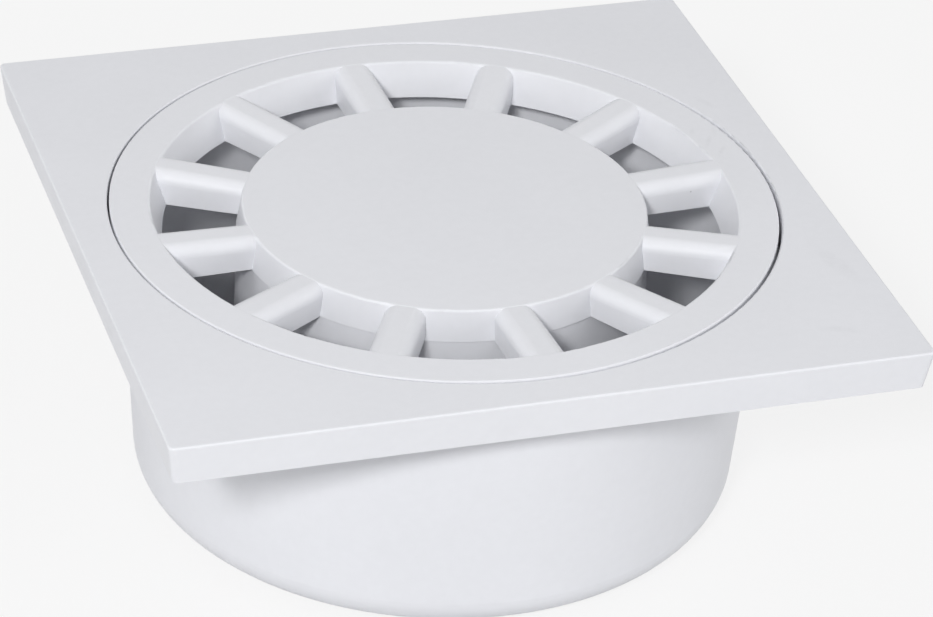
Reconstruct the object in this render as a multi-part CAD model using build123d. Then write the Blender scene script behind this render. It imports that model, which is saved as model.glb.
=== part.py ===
from build123d import *
import math
import os

# Frame: origin at the centre of the drum's flat underside, +Z up along the outlet's axis,
# sides of the plate along X and Y, all sizes in millimetres.

# Whole gully
plate_side = 150.0
overall_height = 61.7

# Square plate
plate_edge_height = 8.3
plate_edge_lean = 1.1
plate_corner_radius = 1.2
plate_top_rounding = 0.4
plate_skin = 3.0
plate_skirt_wall = 2.4
bridge_width = 34.0
web_thickness = 2.2

# Round recess that holds the grate, with the land left beside it at the middle of each side
recess_land = 7.6
recess_rounding = 0.35
ledge_thickness = 2.5
collar_wall = 2.5

# Drum, set in from the recess at the plate's foot and tapering down to its floor
drum_inset = 2.5
drum_draft = 3.6
drum_wall = 2.5
drum_floor = 3.0
drum_heel_radius = 7.5
drum_inner_heel_radius = 5.0

# Outlet: socket for a waste pipe below the floor's inside, upstand above it
pipe_outer_radius = 25.0
pipe_clearance = 0.15
socket_depth = 25.0
socket_wall = 2.8
socket_lead_in = 0.8
outlet_bore_radius = 22.8
upstand_wall = 2.5
upstand_lip_rounding = 1.0

# Grate
grate_depth = 7.2
grate_clearance = 0.5
grate_turn_degrees = 2.4
grate_shift = 0.1
rim_width = 8.0
rim_lean = 2.6
rim_skin = 2.4
rim_wall = 2.2
rim_outer_rounding = 0.35
rim_inner_rounding = 0.6
disc_top_radius = 40.6
disc_lean = 1.0
disc_drop = 0.7
disc_skin = 2.6
disc_skirt_wall = 2.5
disc_rounding = 0.5
rib_count = 12
rib_width = 8.15
rib_shoulder_rounding = 2.5
rib_crest_drop = 0.05
rib_wall = 2.3
rib_pocket_rounding = 0.8
rib_pocket_end_wall = 2.4

# Bell that hangs from the disc, and the depth of its water seal
bell_neck_clearance = 0.1
bell_neck_height = 3.0
bell_wall = 2.2
bell_shoulder_inset = 0.4
bell_flare = 1.0
bell_floor_gap = 8.0
bell_rim_rounding = 0.8
seal_depth = 29.7

# How far a cutting shape runs past the face it cuts
overcut = 1.0

# Heights and radii that follow from the sizes above
top_z = overall_height
plate_foot_z = top_z - plate_edge_height
ledge_z = top_z - grate_depth
ledge_foot_z = ledge_z - ledge_thickness
recess_radius = plate_side / 2 - recess_land
drum_top_radius = recess_radius - drum_inset
drum_foot_radius = drum_top_radius - drum_draft
drum_slope = (drum_top_radius - drum_foot_radius) / plate_foot_z
drum_join_radius = drum_foot_radius + drum_slope * ledge_foot_z
collar_radius = recess_radius + collar_wall
ledge_inner_radius = drum_foot_radius + drum_slope * ledge_z - drum_wall
drum_floor_radius = drum_foot_radius + drum_slope * drum_floor - drum_wall
socket_radius = pipe_outer_radius + pipe_clearance
bell_foot_z = drum_floor + bell_floor_gap
upstand_top_z = bell_foot_z + seal_depth
grate_foot_z = ledge_z
rim_radius = recess_radius - grate_clearance
rim_top_inner_radius = rim_radius - rim_width
rim_foot_inner_radius = rim_top_inner_radius - rim_lean
disc_top_z = top_z - disc_drop
disc_foot_radius = disc_top_radius + disc_lean
disc_pocket_radius = disc_foot_radius - disc_skirt_wall


def vertex_at(face, radius, height):
    """The corner of a profile that lies nearest to a radius and a height."""
    return face.vertices().sort_by_distance(Vector(radius, 0, height))[0]


def profile(points):
    """A closed face in the XZ plane through (radius, height) points."""
    return Plane.XZ * make_face(Polyline(*points, close=True))


def turned(face):
    """The solid that a profile sweeps round the outlet's axis."""
    return revolve(face, Axis.Z, 360)


def rounded(face, corners):
    """A profile with some of its corners rounded, each given as (radius, height, rounding)."""
    for radius, height, rounding in corners:
        face = fillet(vertex_at(face, radius, height), rounding)
    return face


def plate_block():
    """Square plate with a leaning edge, rounded corners and a softened top."""
    top_outline = RectangleRounded(plate_side, plate_side, plate_corner_radius)
    foot_side = plate_side - 2 * plate_edge_lean
    foot_outline = RectangleRounded(foot_side, foot_side, plate_corner_radius)
    block = loft([Pos(0, 0, plate_foot_z) * foot_outline, Pos(0, 0, top_z) * top_outline])
    top_edges = block.edges().group_by(Axis.Z)[-1]
    return fillet(top_edges, plate_top_rounding)


def corner_pockets():
    """Hollows under the plate's corners, each crossed by one web towards the corner."""
    inner_side = plate_side - 2 * (plate_edge_lean + plate_skirt_wall)
    outline = RectangleRounded(inner_side, inner_side, plate_corner_radius)
    outline -= Circle(collar_radius - collar_wall / 2)
    outline -= Rectangle(plate_side, bridge_width)
    outline -= Rectangle(bridge_width, plate_side)
    for turn in (45, 135):
        outline -= Rot(0, 0, turn) * Rectangle(2 * plate_side, web_thickness)
    depth = plate_edge_height - plate_skin
    return extrude(Pos(0, 0, plate_foot_z - overcut) * outline, amount=depth + overcut)


def drum_outside():
    """Solid drum with its ledge and the collar that joins the ledge to the plate."""
    collar_top_z = top_z - plate_skin / 2
    face = profile([
        (0, 0),
        (drum_foot_radius, 0),
        (drum_join_radius, ledge_foot_z),
        (collar_radius, ledge_foot_z),
        (collar_radius, collar_top_z),
        (0, collar_top_z),
    ])
    return turned(rounded(face, [
        (drum_foot_radius, 0, drum_heel_radius),
        (collar_radius, ledge_foot_z, collar_wall / 2),
    ]))


def drum_inside():
    """Everything hollow above the floor: the recess, the throat and the well."""
    face = profile([
        (0, drum_floor),
        (drum_floor_radius, drum_floor),
        (ledge_inner_radius, ledge_z),
        (recess_radius, ledge_z),
        (recess_radius, top_z + overcut),
        (0, top_z + overcut),
    ])
    return turned(rounded(face, [(drum_floor_radius, drum_floor, drum_inner_heel_radius)]))


def upstand():
    """Pipe that stands up from the floor, with the wider socket at its foot."""
    socket_outer = socket_radius + socket_wall
    pipe_outer = outlet_bore_radius + upstand_wall
    shoulder_z = socket_depth + upstand_wall
    face = profile([
        (0, drum_floor / 2),
        (socket_outer, drum_floor / 2),
        (socket_outer, shoulder_z),
        (pipe_outer, shoulder_z + socket_outer - pipe_outer),
        (pipe_outer, upstand_top_z),
        (0, upstand_top_z),
    ])
    return turned(rounded(face, [(pipe_outer, upstand_top_z, upstand_lip_rounding)]))


def outlet_bore():
    """Hole up through the socket and the upstand."""
    return turned(profile([
        (0, -overcut),
        (socket_radius + socket_lead_in + overcut, -overcut),
        (socket_radius, socket_lead_in),
        (socket_radius, socket_depth),
        (outlet_bore_radius, socket_depth),
        (outlet_bore_radius, top_z),
        (0, top_z),
    ]))


def make_gully_body():
    """Plate, recess, drum and outlet as one moulding."""
    body = plate_block() - corner_pockets()
    body += drum_outside()
    body -= drum_inside()
    recess_edge = body.edges().filter_by(GeomType.CIRCLE).group_by(Axis.Z)[-1]
    recess_edge = recess_edge.filter_by(lambda edge: abs(edge.radius - recess_radius) < 0.01)
    body = fillet(recess_edge, recess_rounding)
    body += upstand()
    return body - outlet_bore()


def rim_ring():
    """Ring that drops into the recess, hollow from below."""
    face = profile([
        (rim_foot_inner_radius, grate_foot_z),
        (rim_radius, grate_foot_z),
        (rim_radius, top_z),
        (rim_top_inner_radius, top_z),
    ])
    return turned(rounded(face, [
        (rim_radius, top_z, rim_outer_rounding),
        (rim_top_inner_radius, top_z, rim_inner_rounding),
    ]))


def rim_channel():
    """Hollow under the rim between its sloping inner wall and its outer wall."""
    wall_lean = rim_lean / grate_depth
    roof_z = top_z - rim_skin
    inner_foot = rim_foot_inner_radius + rim_wall
    inner_roof = inner_foot + wall_lean * (roof_z - grate_foot_z)
    return turned(profile([
        (inner_foot - wall_lean * overcut, grate_foot_z - overcut),
        (rim_radius - rim_wall, grate_foot_z - overcut),
        (rim_radius - rim_wall, roof_z),
        (inner_roof, roof_z),
    ]))


def centre_disc():
    """Round plate in the middle of the grate, with its skirt still solid."""
    face = profile([
        (0, grate_foot_z),
        (disc_foot_radius, grate_foot_z),
        (disc_top_radius, disc_top_z),
        (0, disc_top_z),
    ])
    return turned(rounded(face, [(disc_top_radius, disc_top_z, disc_rounding)]))


def disc_pocket():
    """Round hollow under the disc that takes the bell's neck."""
    depth = grate_depth - disc_drop - disc_skin
    pocket = extrude(Circle(disc_pocket_radius), amount=depth + overcut)
    return Pos(0, 0, grate_foot_z - overcut) * pocket


def rib_section(width, crest_z, foot_z, rounding):
    """Upright section with a flat crest and rounded shoulders."""
    height = crest_z - foot_z
    section = Pos(0, foot_z + height / 2) * Rectangle(width, height)
    shoulders = section.vertices().group_by(Axis.Y)[-1]
    return Plane.YZ * fillet(shoulders, rounding)


def rib():
    """One rib along +X, rising slightly from the disc's edge to the rim's edge."""
    rise = disc_drop / (rim_top_inner_radius - disc_top_radius)
    start = disc_pocket_radius - disc_skirt_wall
    crest_z = disc_top_z - rib_crest_drop - rise * (disc_top_radius - start)
    run = rim_top_inner_radius + rim_wall / 2 - start
    foot_z = grate_foot_z - disc_drop - overcut
    section = Pos(start, 0, 0) * rib_section(rib_width, crest_z, foot_z, rib_shoulder_rounding)
    return extrude(section, amount=run * math.hypot(1, rise), dir=(1, 0, rise))


def rib_pocket():
    """Hollow under one rib, closed off from the disc and from the rim."""
    start = disc_foot_radius + rib_pocket_end_wall
    run = rim_foot_inner_radius - start
    crest_z = disc_top_z - rib_wall
    width = rib_width - 2 * rib_wall
    foot_z = grate_foot_z - overcut
    section = Pos(start, 0, 0) * rib_section(width, crest_z, foot_z, rib_pocket_rounding)
    return extrude(section, amount=run, dir=(1, 0, 0))


def make_grate():
    """Rim, ribs and disc as one moulding."""
    pitch = 360 / rib_count
    turns = [pitch * (step + 0.5) for step in range(rib_count)]
    ribs = [Rot(0, 0, turn) * rib() for turn in turns]
    grate = rim_ring().fuse(centre_disc(), *ribs)
    below = Pos(0, 0, grate_foot_z - grate_depth / 2) * Cylinder(rim_radius, grate_depth)
    grate -= below
    grate -= disc_pocket()
    grate -= rim_channel()
    for turn in turns:
        grate -= Rot(0, 0, turn) * rib_pocket()
    return Rot(0, 0, grate_turn_degrees - pitch / 2) * grate


def make_bell_trap():
    """Inverted cup whose neck plugs into the disc from below."""
    neck_radius = disc_pocket_radius - bell_neck_clearance
    neck_top_z = grate_foot_z + bell_neck_height
    shoulder_radius = disc_foot_radius - bell_shoulder_inset
    foot_radius = shoulder_radius + bell_flare
    outside = profile([
        (0, bell_foot_z),
        (foot_radius, bell_foot_z),
        (shoulder_radius, grate_foot_z),
        (neck_radius, grate_foot_z),
        (neck_radius, neck_top_z),
        (0, neck_top_z),
    ])
    outside = rounded(outside, [(foot_radius, bell_foot_z, bell_rim_rounding)])
    inside = profile([
        (0, bell_foot_z - overcut),
        (foot_radius - bell_wall, bell_foot_z - overcut),
        (shoulder_radius - bell_wall, grate_foot_z - bell_wall),
        (neck_radius - bell_wall, grate_foot_z - bell_wall),
        (neck_radius - bell_wall, neck_top_z - bell_wall),
        (0, neck_top_z - bell_wall),
    ])
    return turned(outside) - turned(inside)


# The grate lies a little to one side in its clearance, and the bell hangs on it
grate_place = Pos(-grate_shift, 0, 0)
nodes = {
    "gully_body": make_gully_body(),
    "grate": grate_place * make_grate(),
    "bell_trap": grate_place * make_bell_trap(),
}

os.makedirs("parts", exist_ok=True)
for name, shape in nodes.items():
    export_step(shape, f"parts/{name}.step")
    print(name, "solids", len(shape.solids()), "volume", round(shape.volume, 1))
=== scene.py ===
import math

import bpy
from mathutils import Matrix, Vector


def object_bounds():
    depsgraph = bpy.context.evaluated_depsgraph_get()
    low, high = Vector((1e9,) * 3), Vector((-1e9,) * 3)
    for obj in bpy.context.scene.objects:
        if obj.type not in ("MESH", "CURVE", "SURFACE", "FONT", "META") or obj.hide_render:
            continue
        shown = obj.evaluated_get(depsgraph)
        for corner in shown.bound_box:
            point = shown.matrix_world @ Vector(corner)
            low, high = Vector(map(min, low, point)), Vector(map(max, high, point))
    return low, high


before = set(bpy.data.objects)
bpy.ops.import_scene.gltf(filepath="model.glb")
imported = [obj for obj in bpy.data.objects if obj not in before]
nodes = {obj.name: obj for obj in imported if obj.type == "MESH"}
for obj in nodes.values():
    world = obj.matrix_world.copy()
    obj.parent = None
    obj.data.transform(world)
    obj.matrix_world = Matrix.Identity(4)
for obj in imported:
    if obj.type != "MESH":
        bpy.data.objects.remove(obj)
cad_low, cad_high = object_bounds()

# The image that the camera frames, in pixels, and the view measured from it, in metres and degrees
IMAGE_WIDTH = 933
FOCAL_PIXELS = 4088.5
SENSOR_WIDTH = 36.0
VIEW_TURN = 19.06
VIEW_ELEVATION = 31.49
VIEW_ROLL = 3.44
VIEW_DISTANCE = 0.7823
AIM_X = -0.00807
AIM_Y = -0.04016
AIM_Z = cad_high.z
CLIP_START = 0.01
CLIP_END = 20.0

# The plastic's tone, linear, and how far its clouds and mottle take it down and up
PLASTIC = (0.772, 0.780, 0.815)
DARKER_TONE = 0.978
LIGHTER_TONE = 1.016
CLOUD_CELLS = 28.0
CLOUD_SHARE = 0.6
MOTTLE_CELLS = 520.0
MOTTLE_SHARE = 0.4

# The plastic's gloss
GLOSS_CELLS = 90.0
SHINIEST = 0.40
DULLEST = 0.50
PLASTIC_IOR = 1.46
SPECULAR_LEVEL = 0.3

# The plastic's bumps: cells per metre, noise detail, strength and height in metres
MOULD_GRAIN = (2600.0, 2.0, 0.12, 0.00004)
FLOW_WAVES = (60.0, 1.0, 0.25, 0.0002)

# Faint darker marks: streaks on the plate's right part (body), scuffs and a speck on the grate;
# place, half sizes, turn in degrees and how much darker they are
BODY_MARKS = (
    ((0.0682, -0.0395, 0.0617), (0.0100, 0.0026, 0.002), -76.0, 0.050),
    ((0.0600, -0.0630, 0.0617), (0.0055, 0.0016, 0.002), -20.0, 0.040),
    ((0.0655, 0.0280, 0.0617), (0.0050, 0.0012, 0.002), -60.0, 0.040),
)
GRATE_MARKS = (
    ((0.0604, 0.0120, 0.0617), (0.0036, 0.0008, 0.004), 62.0, 0.060),
    ((0.0618, 0.0076, 0.0617), (0.0034, 0.0007, 0.004), 55.0, 0.060),
    ((0.0632, 0.0160, 0.0617), (0.0030, 0.0008, 0.004), 70.0, 0.050),
    ((0.0585, 0.0165, 0.0600), (0.0030, 0.0008, 0.004), 66.0, 0.060),
    ((0.0518, -0.0019, 0.0586), (0.0003, 0.0002, 0.0003), 0.0, 0.450),
)
MARK_CELLS = 900.0
MARK_FAINTEST = 0.2
MARK_CORE = 0.2

# The part of a noise's range that is spread over what it drives
NOISE_LOW = 0.3
NOISE_HIGH = 0.7

# Floor and backdrop
FLOOR_TONE = 0.68
FLOOR_BACKDROP_SHARE = 0.82
FLOOR_GAP = 0.0001
FLOOR_HALF = 4.0
WORLD_LIGHT = 0.33
BLACK = (0.0, 0.0, 0.0, 1.0)
WHITE = (1.0, 1.0, 1.0, 1.0)

# Softboxes: name, turn and elevation in degrees, side in metres, watts
LAMP_DISTANCE = 1.6
SOFTBOXES = (
    ("key_box", -31.0, 34.4, 0.21, 13.4),
    ("front_box", -19.0, 31.5, 0.6, 2.3),
    ("left_box", -100.0, 25.0, 1.2, 4.8),
    ("right_box", 55.0, 18.0, 0.7, 4.6),
    ("far_right_box", 80.0, 25.0, 1.2, 2.4),
    ("top_box", 170.0, 60.0, 1.2, 1.8),
)


def make_camera():
    """A long lens at the measured turn, height, roll and distance."""
    data = bpy.data.cameras.new("view_camera")
    data.sensor_width = SENSOR_WIDTH
    data.lens = FOCAL_PIXELS / IMAGE_WIDTH * SENSOR_WIDTH
    data.clip_start = CLIP_START
    data.clip_end = CLIP_END
    camera = bpy.data.objects.new("view_camera", data)
    bpy.context.scene.collection.objects.link(camera)
    turn = math.radians(VIEW_TURN)
    elevation = math.radians(VIEW_ELEVATION)
    forward = Vector((
        math.sin(turn) * math.cos(elevation),
        math.cos(turn) * math.cos(elevation),
        -math.sin(elevation),
    ))
    level_right = forward.cross(Vector((0, 0, 1))).normalized()
    level_up = level_right.cross(forward)
    roll = math.radians(VIEW_ROLL)
    right = level_right * math.cos(roll) + level_up * math.sin(roll)
    up = right.cross(forward)
    place = Vector((AIM_X, AIM_Y, AIM_Z)) - forward * VIEW_DISTANCE
    rotation = Matrix((right, up, -forward)).transposed().to_4x4()
    camera.matrix_world = Matrix.Translation(place) @ rotation
    bpy.context.scene.camera = camera


def new_material(name):
    """An empty node material with its output."""
    material = bpy.data.materials.new(name)
    material.use_nodes = True
    material.node_tree.nodes.clear()
    output = material.node_tree.nodes.new("ShaderNodeOutputMaterial")
    return material, material.node_tree, output


def noise(tree, place, cells, detail):
    """Noise at a number of cells per metre."""
    node = tree.nodes.new("ShaderNodeTexNoise")
    node.inputs["Scale"].default_value = cells
    node.inputs["Detail"].default_value = detail
    tree.links.new(place, node.inputs["Vector"])
    return node.outputs["Fac"]


def spread(tree, value, low, high):
    """Maps the middle of a noise onto a range."""
    node = tree.nodes.new("ShaderNodeMapRange")
    node.inputs["From Min"].default_value = NOISE_LOW
    node.inputs["From Max"].default_value = NOISE_HIGH
    node.inputs["To Min"].default_value = low
    node.inputs["To Max"].default_value = high
    tree.links.new(value, node.inputs["Value"])
    return node.outputs["Result"]


def colour_mix(tree, share):
    """A colour mix driven by a share, with its two colours still to be set or linked."""
    node = tree.nodes.new("ShaderNodeMix")
    node.data_type = "RGBA"
    tree.links.new(share, node.inputs["Factor"])
    return node


def math_node(tree, operation, first, second):
    """Two numbers put through one operation; each is an output or a plain value."""
    node = tree.nodes.new("ShaderNodeMath")
    node.operation = operation
    for socket, value in zip(node.inputs, (first, second)):
        if isinstance(value, float):
            socket.default_value = value
        else:
            tree.links.new(value, socket)
    return node.outputs[0]


def mark_shade(tree, place, centre, half_sizes, turn, depth):
    """How much a soft-edged, broken ellipse darkens the plastic."""
    local = tree.nodes.new("ShaderNodeMapping")
    local.vector_type = "TEXTURE"
    local.inputs["Location"].default_value = centre
    local.inputs["Rotation"].default_value = (0.0, 0.0, math.radians(turn))
    local.inputs["Scale"].default_value = half_sizes
    tree.links.new(place, local.inputs["Vector"])
    distance = tree.nodes.new("ShaderNodeVectorMath")
    distance.operation = "LENGTH"
    tree.links.new(local.outputs["Vector"], distance.inputs[0])
    fade = tree.nodes.new("ShaderNodeMapRange")
    fade.interpolation_type = "SMOOTHSTEP"
    fade.inputs["From Min"].default_value = 1.0
    fade.inputs["From Max"].default_value = MARK_CORE
    tree.links.new(distance.outputs["Value"], fade.inputs["Value"])
    broken = spread(tree, noise(tree, place, MARK_CELLS, 3.0), MARK_FAINTEST, 1.0)
    whole = math_node(tree, "MULTIPLY", fade.outputs["Result"], broken)
    return math_node(tree, "MULTIPLY", whole, depth)


def marked(tree, place, colour, marks):
    """A colour with its darker marks drawn over it."""
    shades = [mark_shade(tree, place, *mark) for mark in marks]
    if not shades:
        return colour
    deepest = shades[0]
    for shade in shades[1:]:
        deepest = math_node(tree, "MAXIMUM", deepest, shade)
    node = colour_mix(tree, deepest)
    node.inputs["B"].default_value = BLACK
    tree.links.new(colour, node.inputs["A"])
    return node.outputs["Result"]


def bump(tree, place, cells, detail, strength, height):
    """Bumps of one size over the whole surface."""
    node = tree.nodes.new("ShaderNodeBump")
    node.inputs["Strength"].default_value = strength
    node.inputs["Distance"].default_value = height
    tree.links.new(noise(tree, place, cells, detail), node.inputs["Height"])
    return node


def white_plastic(name, marks=()):
    """Satin moulded plastic: faint clouding, uneven gloss, fine mould grain and slow flow waves."""
    material, tree, output = new_material(name)
    shader = tree.nodes.new("ShaderNodeBsdfPrincipled")
    place = tree.nodes.new("ShaderNodeTexCoord").outputs["Object"]
    cloud = spread(tree, noise(tree, place, CLOUD_CELLS, 3.0), 0.0, CLOUD_SHARE)
    mottle = spread(tree, noise(tree, place, MOTTLE_CELLS, 3.0), 0.0, MOTTLE_SHARE)
    clouded = colour_mix(tree, math_node(tree, "ADD", cloud, mottle))
    for socket, factor in (("A", DARKER_TONE), ("B", LIGHTER_TONE)):
        clouded.inputs[socket].default_value = (*(channel * factor for channel in PLASTIC), 1.0)
    colour = marked(tree, place, clouded.outputs["Result"], marks)
    tree.links.new(colour, shader.inputs["Base Color"])
    roughness = spread(tree, noise(tree, place, GLOSS_CELLS, 4.0), SHINIEST, DULLEST)
    tree.links.new(roughness, shader.inputs["Roughness"])
    shader.inputs["IOR"].default_value = PLASTIC_IOR
    shader.inputs["Specular IOR Level"].default_value = SPECULAR_LEVEL
    grain = bump(tree, place, *MOULD_GRAIN)
    waves = bump(tree, place, *FLOW_WAVES)
    tree.links.new(grain.outputs["Normal"], waves.inputs["Normal"])
    tree.links.new(waves.outputs["Normal"], shader.inputs["Normal"])
    tree.links.new(shader.outputs["BSDF"], output.inputs["Surface"])
    return material


def dress(node, material):
    """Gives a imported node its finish."""
    mesh = nodes[node].data
    mesh.materials.clear()
    mesh.materials.append(material)


def backdrop_rays(tree):
    """1 for the rays that see the backdrop: those from the camera, and in gloss or glass."""
    path = tree.nodes.new("ShaderNodeLightPath")
    rays = path.outputs["Is Camera Ray"]
    for kind in ("Is Glossy Ray", "Is Transmission Ray"):
        rays = math_node(tree, "MAXIMUM", rays, path.outputs[kind])
    return rays


def shader_mix(tree, share, first, second, output):
    """Blends two shaders into the output by a share."""
    blend = tree.nodes.new("ShaderNodeMixShader")
    tree.links.new(share, blend.inputs["Fac"])
    tree.links.new(first, blend.inputs[1])
    tree.links.new(second, blend.inputs[2])
    tree.links.new(blend.outputs["Shader"], output.inputs["Surface"])


def make_floor():
    """A wide pale floor a hair below the drum's flat underside."""
    height = cad_low.z - FLOOR_GAP
    corners = [
        (-FLOOR_HALF, -FLOOR_HALF, height),
        (FLOOR_HALF, -FLOOR_HALF, height),
        (FLOOR_HALF, FLOOR_HALF, height),
        (-FLOOR_HALF, FLOOR_HALF, height),
    ]
    mesh = bpy.data.meshes.new("floor")
    mesh.from_pydata(corners, [], [(0, 1, 2, 3)])
    floor = bpy.data.objects.new("floor", mesh)
    bpy.context.scene.collection.objects.link(floor)
    material, tree, output = new_material("floor_paper")
    paper = tree.nodes.new("ShaderNodeBsdfDiffuse")
    paper.inputs["Color"].default_value = (FLOOR_TONE, FLOOR_TONE, FLOOR_TONE, 1.0)
    glow = tree.nodes.new("ShaderNodeEmission")
    glow.inputs["Color"].default_value = WHITE
    share = math_node(tree, "MULTIPLY", backdrop_rays(tree), FLOOR_BACKDROP_SHARE)
    shader_mix(tree, share, paper.outputs["BSDF"], glow.outputs["Emission"], output)
    mesh.materials.append(material)


def make_world():
    """Even studio light from all round, and a white backdrop."""
    world = bpy.data.worlds.new("studio")
    bpy.context.scene.world = world
    world.use_nodes = True
    tree = world.node_tree
    tree.nodes.clear()
    light = tree.nodes.new("ShaderNodeBackground")
    light.inputs["Color"].default_value = WHITE
    light.inputs["Strength"].default_value = WORLD_LIGHT
    backdrop = tree.nodes.new("ShaderNodeBackground")
    backdrop.inputs["Color"].default_value = WHITE
    output = tree.nodes.new("ShaderNodeOutputWorld")
    share = backdrop_rays(tree)
    shader_mix(tree, share, light.outputs["Background"], backdrop.outputs["Background"], output)


def make_softbox(name, turn, elevation, side, watts):
    """A square lamp aimed at the middle of the grate. Turn 0 is in front, positive to the right."""
    data = bpy.data.lights.new(name, "AREA")
    data.shape = "SQUARE"
    data.size = side
    data.energy = watts
    lamp = bpy.data.objects.new(name, data)
    bpy.context.scene.collection.objects.link(lamp)
    turn = math.radians(turn)
    elevation = math.radians(elevation)
    towards = Vector((
        math.sin(turn) * math.cos(elevation),
        -math.cos(turn) * math.cos(elevation),
        math.sin(elevation),
    ))
    middle = Vector((0, 0, cad_high.z))
    lamp.location = middle + towards * LAMP_DISTANCE
    lamp.rotation_mode = "QUATERNION"
    lamp.rotation_quaternion = towards.to_track_quat("Z", "Y")


make_camera()
make_world()
make_floor()
for softbox in SOFTBOXES:
    make_softbox(*softbox)

dress("gully_body", white_plastic("body_plastic", BODY_MARKS))
dress("grate", white_plastic("grate_plastic", GRATE_MARKS))
dress("bell_trap", white_plastic("bell_plastic"))

bpy.context.scene.view_settings.view_transform = "Standard"
